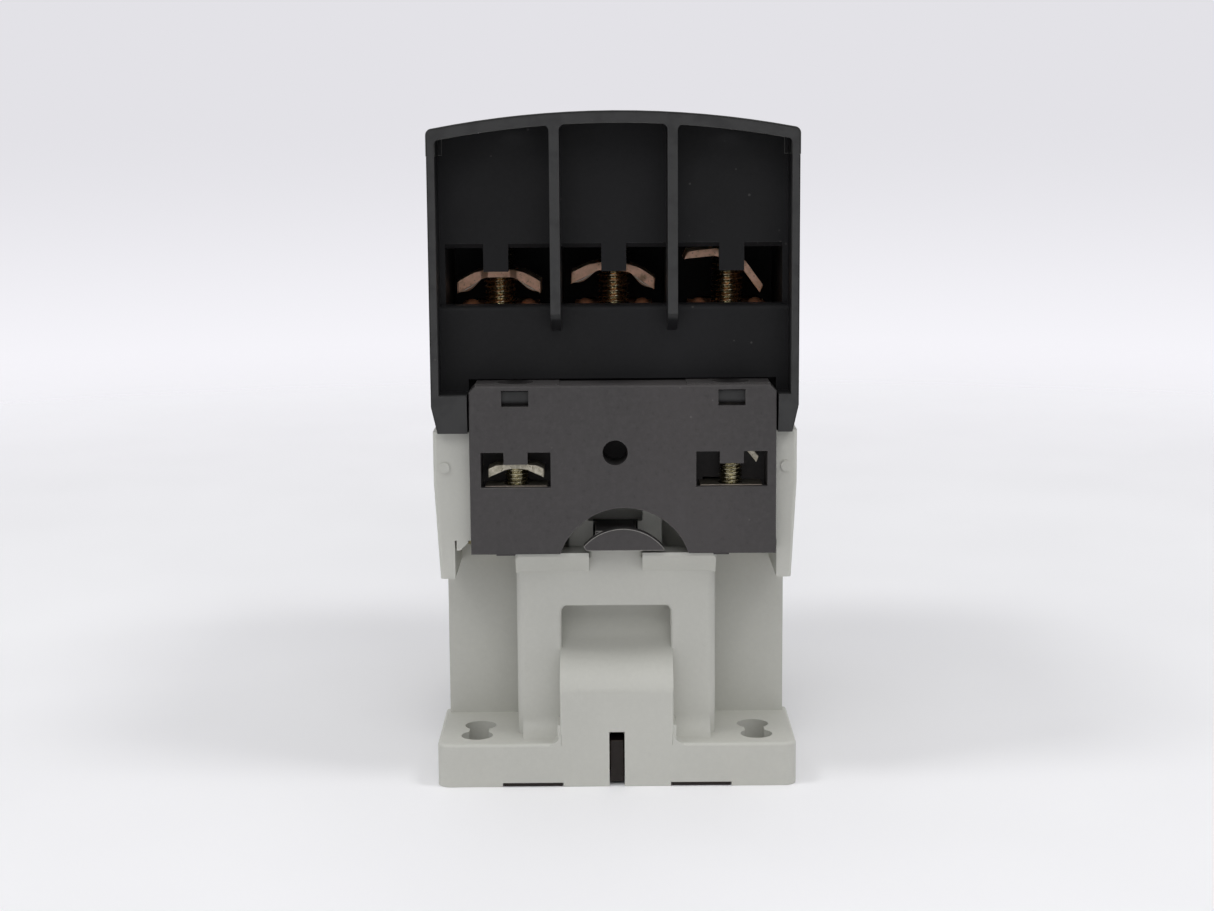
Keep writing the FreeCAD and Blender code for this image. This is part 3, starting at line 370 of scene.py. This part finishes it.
def coil_path(mean_r, length, wire_r, turns, dead=1.0, steps=28):
    """Points of a compression spring along +Z from 0 to length, its end turns closed."""
    lo, hi = wire_r, length - wire_r
    total = turns + 2 * dead
    n = int(total * steps)
    pts = []
    for k in range(n + 1):
        t = total * k / n
        if t < dead:
            z = lo + 2 * wire_r * 1.02 * t
        elif t > total - dead:
            z = hi - 2 * wire_r * 1.02 * (total - t)
        else:
            a, b = lo + 2 * wire_r * 1.02 * dead, hi - 2 * wire_r * 1.02 * dead
            z = a + (b - a) * (t - dead) / turns
        th = 2 * math.pi * t
        pts.append((mean_r * math.cos(th), mean_r * math.sin(th), z))
    return pts


def threaded(bm, x, y, z0, z1, r, pitch, depth, around=44, per=11, lead=0.9):
    """Right-handed thread of outer radius r between z0 and z1 (mm), with a chamfered point at z0."""
    rows = int((z1 - z0) / pitch * per)
    rings = []
    for j in range(rows + 1):
        z = z0 + (z1 - z0) * j / rows
        ring = []
        for i in range(around):
            th = 2 * math.pi * i / around
            ph = ((z - z0) / pitch - i / around) % 1.0
            tri = 1 - abs(2 * ph - 1)
            crest = min(1.0, max(0.0, (tri - 0.10) / 0.72))
            rr = r - depth * (1 - crest)
            rr = min(rr, r - depth * 1.15 + (z - z0) / lead * depth * 1.15)
            ring.append(Vector((x + rr * math.cos(th), y + rr * math.sin(th), z)) * MM)
        rings.append(ring)
    grid_tube(bm, rings)


# ------------------------------------------------------------------ carried-over CAD nodes
def dress(node, mat, edge, width=0.16, segments=2, angle=30.0):
    """Gives a CAD node its material, and small moulded radii along its edges in a lighter copy of the material that
    paints a highlight on them.
    """
    o = NODES[node]
    me = o.data
    me.materials.clear()
    me.materials.append(mat)
    me.materials.append(edge)
    w = o.modifiers.new("weld", "WELD")
    w.merge_threshold = 2e-6
    d = o.modifiers.new("flat", "DECIMATE")
    d.decimate_type = "DISSOLVE"
    d.angle_limit = math.radians(0.6)
    # slot 1, the lighter edge copy, paints a highlight on the bevels
    soften(o, width, segments, angle, 1)
    n = o.modifiers.new("normals", "WEIGHTED_NORMAL")
    n.weight = 60
    n.keep_sharp = False
    return o


DRESSED = {
    "base_housing": (M_LIGHT, M_LIGHT_EDGE_HIGHLIGHT, 0.20),
    "pole_housing": (M_HOUSING, M_HOUSING_EDGE_HIGHLIGHT, 0.12),
    "front_cover": (M_COVER, M_COVER_EDGE_HIGHLIGHT, 0.12),
    "coil_terminal_block": (M_BLOCK, M_BLOCK_EDGE_HIGHLIGHT, 0.16),
    "coil_block_release_tab": (M_BLOCK, M_BLOCK_EDGE_HIGHLIGHT, 0.14),
    "rail_latch": (M_LATCH, M_LATCH_EDGE_HIGHLIGHT, 0.14),
    "contact_carrier": (M_CARRIER, M_CARRIER_EDGE_HIGHLIGHT, 0.16),
    "coil_bobbin": (M_BOBBIN, M_BOBBIN_EDGE_HIGHLIGHT, 0.16),
    "core_damper_pads": (M_RUBBER, M_RUBBER_EDGE_HIGHLIGHT, 0.25),
    "fixed_contacts_front": (M_COPPER, M_COPPER_EDGE_HIGHLIGHT, 0.10),
    "fixed_contacts_rear": (M_COPPER, M_COPPER_EDGE_HIGHLIGHT, 0.10),
    "shading_rings": (M_COPPER, M_COPPER_EDGE_HIGHLIGHT, 0.10),
    "fixed_contact_tips": (M_SILVER, M_SILVER_EDGE_HIGHLIGHT, 0.12),
    "coil_terminal_plates": (M_PLATE, M_PLATE_EDGE_HIGHLIGHT, 0.08),
    "arc_splitter_plates": (M_STEEL, M_STEEL_EDGE_HIGHLIGHT, 0.06),
    "armature_pin": (M_STEEL, M_STEEL_EDGE_HIGHLIGHT, 0.15),
    "fixed_magnet_core": (M_CORE, M_CORE, 0.10),
    "magnet_armature": (M_CORE, M_CORE, 0.10),
    "housing_screws": (M_ZINC, M_ZINC_EDGE_HIGHLIGHT, 0.10),
}
for i in (1, 2, 3):
    DRESSED["contact_bridge_%d" % i] = (M_COPPER, M_COPPER_EDGE_HIGHLIGHT, 0.12)
    DRESSED["bridge_tips_%d" % i] = (M_SILVER, M_SILVER_EDGE_HIGHLIGHT, 0.12)
for node, (mat, edge, width) in DRESSED.items():
    dress(node, mat, edge, width)
# the cover presses home on the housing with no light between them
close = NODES["front_cover"].modifiers.new("close", "DISPLACE")
close.mid_level = 0.0
close.strength = 0.00007
NODES["front_cover"].modifiers.move(3, 1)


# ------------------------------------------------------------------ terminal screws
def screw(name, node, body, x, y, head_z, tip_z, r, pitch, depth):
    """The CAD screw's head with a real thread in place of its plain shank."""
    bm = welded(node)
    bmesh.ops.bisect_plane(bm, geom=bm.verts[:] + bm.edges[:] + bm.faces[:], plane_co=(0, 0, (head_z + 0.02) * MM),
                           plane_no=(0, 0, 1), clear_inner=True)
    rim = [e for e in bm.edges if len(e.link_faces) == 1]
    bmesh.ops.edgeloop_fill(bm, edges=rim)
    bmesh.ops.dissolve_limit(bm, angle_limit=math.radians(0.6), verts=bm.verts, edges=bm.edges)
    head = add(name, bm, [M_ZINC, M_ZINC_EDGE_HIGHLIGHT])
    # the bevels take the lighter zinc copy: a painted highlight
    soften(head, 0.12, 2, 30.0, 1)
    fix(head)
    bm = bmesh.new()
    bm.from_mesh(head.data)
    # the thread takes a darker copy of the head's plating, a painted shade
    head.data.materials.append(M_THREAD_SHADED)
    before = len(bm.faces)
    threaded(bm, x, y, tip_z, head_z + 0.1, r, pitch, depth)
    bm.faces.ensure_lookup_table()
    for f in bm.faces[before:]:
        f.material_index = 2
    bmesh.ops.recalc_face_normals(bm, faces=bm.faces)
    for f in bm.faces:
        f.smooth = True
    for e in bm.edges:
        e.smooth = len(e.link_faces) == 2 and e.calc_face_angle(0.0) < math.radians(38)
    bm.to_mesh(head.data)
    bm.free()
    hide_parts(node)
    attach(head, body)
    return head


POLES = (-17.5, 0.0, 17.5)
for end, sy in (("front", -1), ("rear", 1)):
    for i, x in enumerate(POLES, 1):
        k = "%s_%d" % (end, i)
        screw("terminal_screw_" + k, "power_screw_" + k, "power_screw_" + k, x, 24.0 * sy, 81.3, 68.9, 2.5, 0.8, 0.46)
for k, x, up in (("left", -14.65, 0.0), ("right", 17.15, 3.0)):
    screw("coil_terminal_screw_" + k, "coil_screw_" + k, "coil_screw_" + k, x, -41.0, 51.3 + up, 41.1 + up, 1.75, 0.6, 0.34)


# ------------------------------------------------------------------ wire clamps
def clamp(name, node, body, x, y, z, tilt, shift, half, flat, depth, slope, t, hole, mats, rib=0.9, rib_d=0.22, seed=0, swell=0.0, bars=()):
    """A saddle-shaped wire clamp: coined top, cut ends, and a ribbed underside that grips the wire; the bars under the
    wings are near-white, a painted glint.
    """
    a = math.radians(slope)
    dz = (half - flat) * math.tan(a)
    r = random.Random(seed)
    # centreline stations across the width, with a small radius at each bend
    xs = sorted(set([-half, half] + [s * (flat + d) for s in (-1, 1) for d in (-0.7, -0.35, 0, 0.35, 0.7)] + [0.0] +
                    [s * (flat + (half - flat) * q) for s in (-1, 1) for q in (0.35, 0.6, 0.8, 0.93)]))

    def under(u):
        e = 0.55
        d = abs(u) - flat
        if d <= -e:
            return 0.0
        if d >= e:
            return -d * math.tan(a)
        return -math.tan(a) * (d + e) ** 2 / (4 * e)

    ys = []
    steps = int(round(depth / rib)) * 4
    for j in range(steps + 1):
        ys.append(-depth / 2 + depth * j / steps)
    bm = bmesh.new()
    low, high = [], []
    for j, v in enumerate(ys):
        ph = (j % 4) / 4.0
        groove = 1 - abs(2 * ph - 1)
        row_l, row_h = [], []
        inset = 0.10 if j in (0, steps) else 0.0
        for u in xs:
            wing = min(1.0, max(0.0, (abs(u) - flat - 0.3) / 0.8))
            wob = 0.03 * r.uniform(-1, 1)
            lo = under(u) + rib_d * groove * wing
            hi = under(u) + (t + swell * min(1.0, max(0.0, (abs(u) - flat - 0.5) / 1.2))) / math.cos(a if abs(u) > flat else 0.0) - 0.06 * (abs(v) / (depth / 2)) ** 4
            if abs(u) <= flat + 0.55:
                k = min(1.0, max(0.0, (abs(u) - flat + 0.55) / 1.1))
                hi = under(u) + t * (1 + (1 / math.cos(a) - 1) * k)
            end = 0.05 * r.uniform(0, 1) if abs(u) == half else 0.0
            uu = u - math.copysign(end + inset * (abs(u) == half), u) if u else u
            row_l.append(bm.verts.new(Vector((uu, v, lo + (wob if wing else 0) * 0.5)) * MM))
            row_h.append(bm.verts.new(Vector((uu, v, hi)) * MM))
        low.append(row_l)
        high.append(row_h)
    n, m = len(ys), len(xs)
    for j in range(n - 1):
        for i in range(m - 1):
            bm.faces.new((low[j][i], low[j][i + 1], low[j + 1][i + 1], low[j + 1][i]))
            bm.faces.new((high[j][i], high[j + 1][i], high[j + 1][i + 1], high[j][i + 1]))
    for j in range(n - 1):
        for i, flip in ((0, False), (m - 1, True)):
            q = (low[j][i], low[j + 1][i], high[j + 1][i], high[j][i])
            f = bm.faces.new(q[::-1] if flip else q)
            f.material_index = 1
    for i in range(m - 1):
        for j, flip in ((0, True), (n - 1, False)):
            q = (low[j][i], low[j][i + 1], high[j][i + 1], high[j][i])
            f = bm.faces.new(q if flip else q[::-1])
            f.material_index = 1
    o = add(name, bm, mats, 30.0)
    o.data.transform(Matrix.Translation(Vector((x + shift, y, z)) * MM) @ Matrix.Rotation(math.radians(tilt), 4, "Y"))
    tool = drum("tool", hole, (x, y, z - 14), (x, y, z + 14), 56)
    tool.data.materials.append(mats[1])
    cut(o, tool)
    soften(o, 0.10, 2, 34.0)
    fix(o)
    for p in o.data.polygons:
        p.use_smooth = True
    s = o.modifiers.new("normals", "WEIGHTED_NORMAL")
    s.weight = 50
    fix(o)
    # the bars take the near-white rib material, which paints the ribs' glint
    if bars:
        bm = bmesh.new()
        bm.from_mesh(o.data)
        before = len(bm.faces)
        set_to = Matrix.Translation(Vector((x + shift, y, z)) * MM) @ Matrix.Rotation(math.radians(tilt), 4, "Y")
        fresh = len(bm.verts)
        for side in (-1, 1):
            for v, drop in bars:
                path = []
                for k in range(13):
                    q = k / 12.0
                    u = flat + 0.75 + (half - flat - 1.0) * q
                    path.append((side * u, v, under(u) - (0.02 + drop * math.sin(math.pi * q)) + 0.12))
                wire(bm, path, 0.15, 8)
        bm.verts.ensure_lookup_table()
        bm.faces.ensure_lookup_table()
        for w in bm.verts[fresh:]:
            w.co = set_to @ w.co
        for f in bm.faces[before:]:
            f.material_index = 2
            f.smooth = True
        bm.to_mesh(o.data)
        bm.free()
        o.data.materials.append(M_RIB_GLINT)
    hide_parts(node)
    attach(o, body)
    return o


REST = {"front_1": (75.4, 0.0), "front_2": (76.3, 4.0), "front_3": (77.6, 24.0), "rear_1": (75.4, 0.0), "rear_2": (75.4, 0.0), "rear_3": (75.4, 0.0)}
for end, sy in (("front", -1), ("rear", 1)):
    for i, x in enumerate(POLES, 1):
        k = "%s_%d" % (end, i)
        z, tilt = REST[k]
        clamp("wire_clamp_" + k, "power_clamp_" + k, "power_clamp_" + k, x, 24.0 * sy, z, tilt, 0.0,
              6.42, 2.2, 8.6, 30.0, 1.1, 2.9, [M_CLAMP, M_CUT], seed=10 + i + 5 * (sy > 0), swell=0.42 if tilt < 10 else 0.0,
              bars=[(-sy * q, d) for q, d in ((-3.9, 0.34), (-3.0, 0.52), (-2.0, 0.66), (3.0, 0.52), (3.9, 0.34)) if tilt < 10])
for k, x, z, tilt, shift in (("left", -14.65, 48.2, 0.0, 0.0), ("right", 17.15, 52.0, 27.0, 0.6)):
    clamp("coil_wire_clamp_" + k, "coil_clamp_" + k, "coil_clamp_" + k, x, -41.0, z, tilt, shift,
          4.15, 1.3, 4.6, 24.0, 0.8, 2.1, [M_TIN, M_COIL_CUT], rib=0.75, rib_d=0.16, seed=31, swell=0.0 if tilt > 10 else 0.40)


# ------------------------------------------------------------------ springs
def spring_set(name, node, body, places, length, mean_r, wire_r, turns, along="Z"):
    bm = bmesh.new()
    for p in places:
        path = coil_path(mean_r, length, wire_r, turns)
        if along == "Y":
            path = [(a, c, -b) for a, b, c in path]
        wire(bm, [(p[0] + a, p[1] + b, p[2] + c) for a, b, c in path], wire_r)
    o = add(name, bm, [M_SPRING], 60.0)
    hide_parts(node)
    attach(o, body)
    return o


ret = spring_set("return_spring_coils", "return_springs", "housing", [(0, -12.9, 39.42), (0, 12.9, 39.42)], 16.36, 1.9, 0.25, 5)
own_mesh(ret)
con = spring_set("contact_spring_coils", "contact_springs", "contact_carrier", [(x, 0, 78.82) for x in POLES], 10.66, 2.1, 0.3, 4)
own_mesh(con)
lat = spring_set("latch_spring_coils", "rail_latch_springs", "housing", [(-6, -42.8, 1.95), (6, -42.8, 1.95)], 14.6, 1.15, 0.25, 7, "Y")
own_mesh(lat)


# ------------------------------------------------------------------ coil winding
def winding():
    """Layers of wire seen as close turns round the bobbin: one turn's bulge every half millimetre."""
    bm = bmesh.new()
    z0, z1, pitch = 19.65, 37.95, 0.5
    n = int((z1 - z0) / pitch)
    per = 8
    corner = 3.0

    def loop(hx, hy, rc, lift=0.0, seg=7):
        pts = []
        for cx, cy, a0 in ((hx - rc, hy - rc, 0), (-hx + rc, hy - rc, 90), (-hx + rc, -hy + rc, 180), (hx - rc, -hy + rc, 270)):
            for k in range(seg + 1):
                a = math.radians(a0 + 90 * k / seg)
                pts.append((cx + rc * math.cos(a), cy + rc * math.sin(a)))
        return pts

    rings = []
    count = len(loop(12.1, 14.8, corner))
    for j in range(n * per + 1):
        ring = []
        for i, (px, py) in enumerate(loop(12.1, 14.8, corner)):
            ph = ((j / per) - i / count) % 1.0
            dip = 0.25 * (1 - math.sqrt(max(0.0, 1 - (2 * ph - 1) ** 2)))
            d = Vector((px, py, 0)).normalized() * (dip + 0.02)
            ring.append(Vector((px - d.x, py - d.y, z0 + (z1 - z0) * j / (n * per))) * MM)
        rings.append(ring)
    outer = grid_tube(bm, rings, closed_ends=False)
    inner = [[bm.verts.new(Vector((px, py, z)) * MM) for px, py in loop(8.08, 9.7, 0.6)] for z in (z0, z1)]
    for i in range(count):
        j = (i + 1) % count
        bm.faces.new((inner[0][j], inner[0][i], inner[1][i], inner[1][j]))
        bm.faces.new((outer[0][j], outer[0][i], inner[0][i], inner[0][j]))
        bm.faces.new((outer[-1][i], outer[-1][j], inner[1][j], inner[1][i]))
    o = add("winding_turns", bm, [M_WIRE], 70.0)
    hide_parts("coil_winding")
    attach(o, "housing")


winding()


# ------------------------------------------------------------------ floor, light and camera
def floor():
    bm = bmesh.new()
    rings = [0.0, 0.05, 0.12, 0.25, 0.5, 1.0, 2.0, 4.0]
    rows = [[bm.verts.new((0, 0, 0))]]
    for r in rings[1:]:
        rows.append([bm.verts.new((r * math.cos(2 * math.pi * k / 96), r * math.sin(2 * math.pi * k / 96), 0)) for k in range(96)])
    for k in range(96):
        bm.faces.new((rows[0][0], rows[1][k], rows[1][(k + 1) % 96]))
    for a, b in zip(rows[1:], rows[2:]):
        for k in range(96):
            bm.faces.new((a[k], b[k], b[(k + 1) % 96], a[(k + 1) % 96]))
    o = add("studio_floor", bm, [])
    for v in o.data.vertices:
        v.co.z -= 0.00004
    g = Graph("studio_sweep")
    col = g.mix(g.ramp(g.noise(6.0, 3.0), 0.3, 0.7), lin(243, 243, 245), lin(247, 247, 249))
    r = g.ramp(g.noise(25.0, 2.0), 0.3, 0.7, 0.5, 0.62)
    mat = g.done(col, r, Specular_IOR_Level=0.25)
    # the sweep fades into the surrounding light far behind the object
    x, y = g.axis(0), g.axis(1)
    far = g.math("SQRT", g.math("ADD", g.math("MULTIPLY", x, x), g.math("MULTIPLY", y, y)))
    fade = g.ramp(far, 0.13, 0.62)
    clear = g.new("ShaderNodeBsdfTransparent")
    both = g.new("ShaderNodeMixShader", {0: fade, 1: g.bsdf.outputs[0], 2: clear.outputs[0]})
    out = next(n for n in g.tree.nodes if n.type == "OUTPUT_MATERIAL")
    g.tree.links.new(both.outputs[0], out.inputs[0])
    o.data.materials.append(mat)


floor()

world = bpy.data.worlds.new("studio")
scene.world = world
world.use_nodes = True
bg = world.node_tree.nodes["Background"]
wt = world.node_tree
bg.inputs[0].default_value = (0.95, 0.95, 0.975, 1.0)
bg.inputs[1].default_value = 0.50
# what is seen directly behind the sweep: pale, and a little darker higher up
sky = wt.nodes.new("ShaderNodeBackground")
up = wt.nodes.new("ShaderNodeSeparateXYZ")
wt.links.new(wt.nodes.new("ShaderNodeTexCoord").outputs["Generated"], up.inputs[0])
span = wt.nodes.new("ShaderNodeMapRange")
span.interpolation_type = "SMOOTHSTEP"
span.inputs[1].default_value, span.inputs[2].default_value = -0.135, 0.0
wt.links.new(up.outputs[2], span.inputs[0])
tone = wt.nodes.new("ShaderNodeMix")
tone.data_type = "RGBA"
tone.inputs[6].default_value = (*lin(248, 247, 252), 1.0)
tone.inputs[7].default_value = (*lin(227, 226, 231), 1.0)
wt.links.new(span.outputs[0], tone.inputs[0])
wt.links.new(tone.outputs[2], sky.inputs[0])
seen = wt.nodes.new("ShaderNodeLightPath")
pick = wt.nodes.new("ShaderNodeMixShader")
wt.links.new(seen.outputs["Is Camera Ray"], pick.inputs[0])
wt.links.new(bg.outputs[0], pick.inputs[1])
wt.links.new(sky.outputs[0], pick.inputs[2])
wt.links.new(pick.outputs[0], wt.nodes["World Output"].inputs[0])


def softbox(name, at, look, size, power, colour=(1, 1, 1)):
    d = bpy.data.lights.new(name, "AREA")
    d.shape = "RECTANGLE"
    d.size, d.size_y = size
    d.energy = power
    d.color = colour
    o = bpy.data.objects.new(name, d)
    scene.collection.objects.link(o)
    o.location = at
    o.rotation_mode = "QUATERNION"
    o.rotation_quaternion = (Vector(look) - Vector(at)).to_track_quat("-Z", "Y")
    o.visible_camera = False
    return o


softbox("left_high", (-0.70, -0.29, 1.22), (0, 0, 0.03), (0.36, 0.36), 3.9, (1.0, 0.995, 0.985))
softbox("right_high", (0.70, -0.29, 1.22), (0, 0, 0.03), (0.36, 0.36), 3.9, (1.0, 0.995, 0.985))
softbox("front_high", (0.0, -1.15, 0.95), (0, 0, 0.04), (1.1, 0.7), 4.0, (1.0, 1.0, 1.0))
softbox("overhead", (0.0, 0.30, 1.45), (0, 0, 0.05), (1.0, 1.0), 2.6, (1.0, 1.0, 1.0))

cam_data = bpy.data.cameras.new("camera")
cam = bpy.data.objects.new("camera", cam_data)
scene.collection.objects.link(cam)
cam_data.sensor_width = 36.0
cam_data.sensor_fit = "HORIZONTAL"
cam_data.lens = 64.3
cam_data.clip_start, cam_data.clip_end = 0.01, 20.0
cam.location = (-0.0012, -0.3595, 0.1002)
cam.rotation_mode = "QUATERNION"
cam.rotation_quaternion = (Matrix.Rotation(math.radians(81.0), 3, "X") @ Matrix.Rotation(math.radians(-0.4), 3, "Z")).to_quaternion()
scene.camera = cam

scene.view_settings.view_transform = "Standard"
scene.view_settings.look = "None"
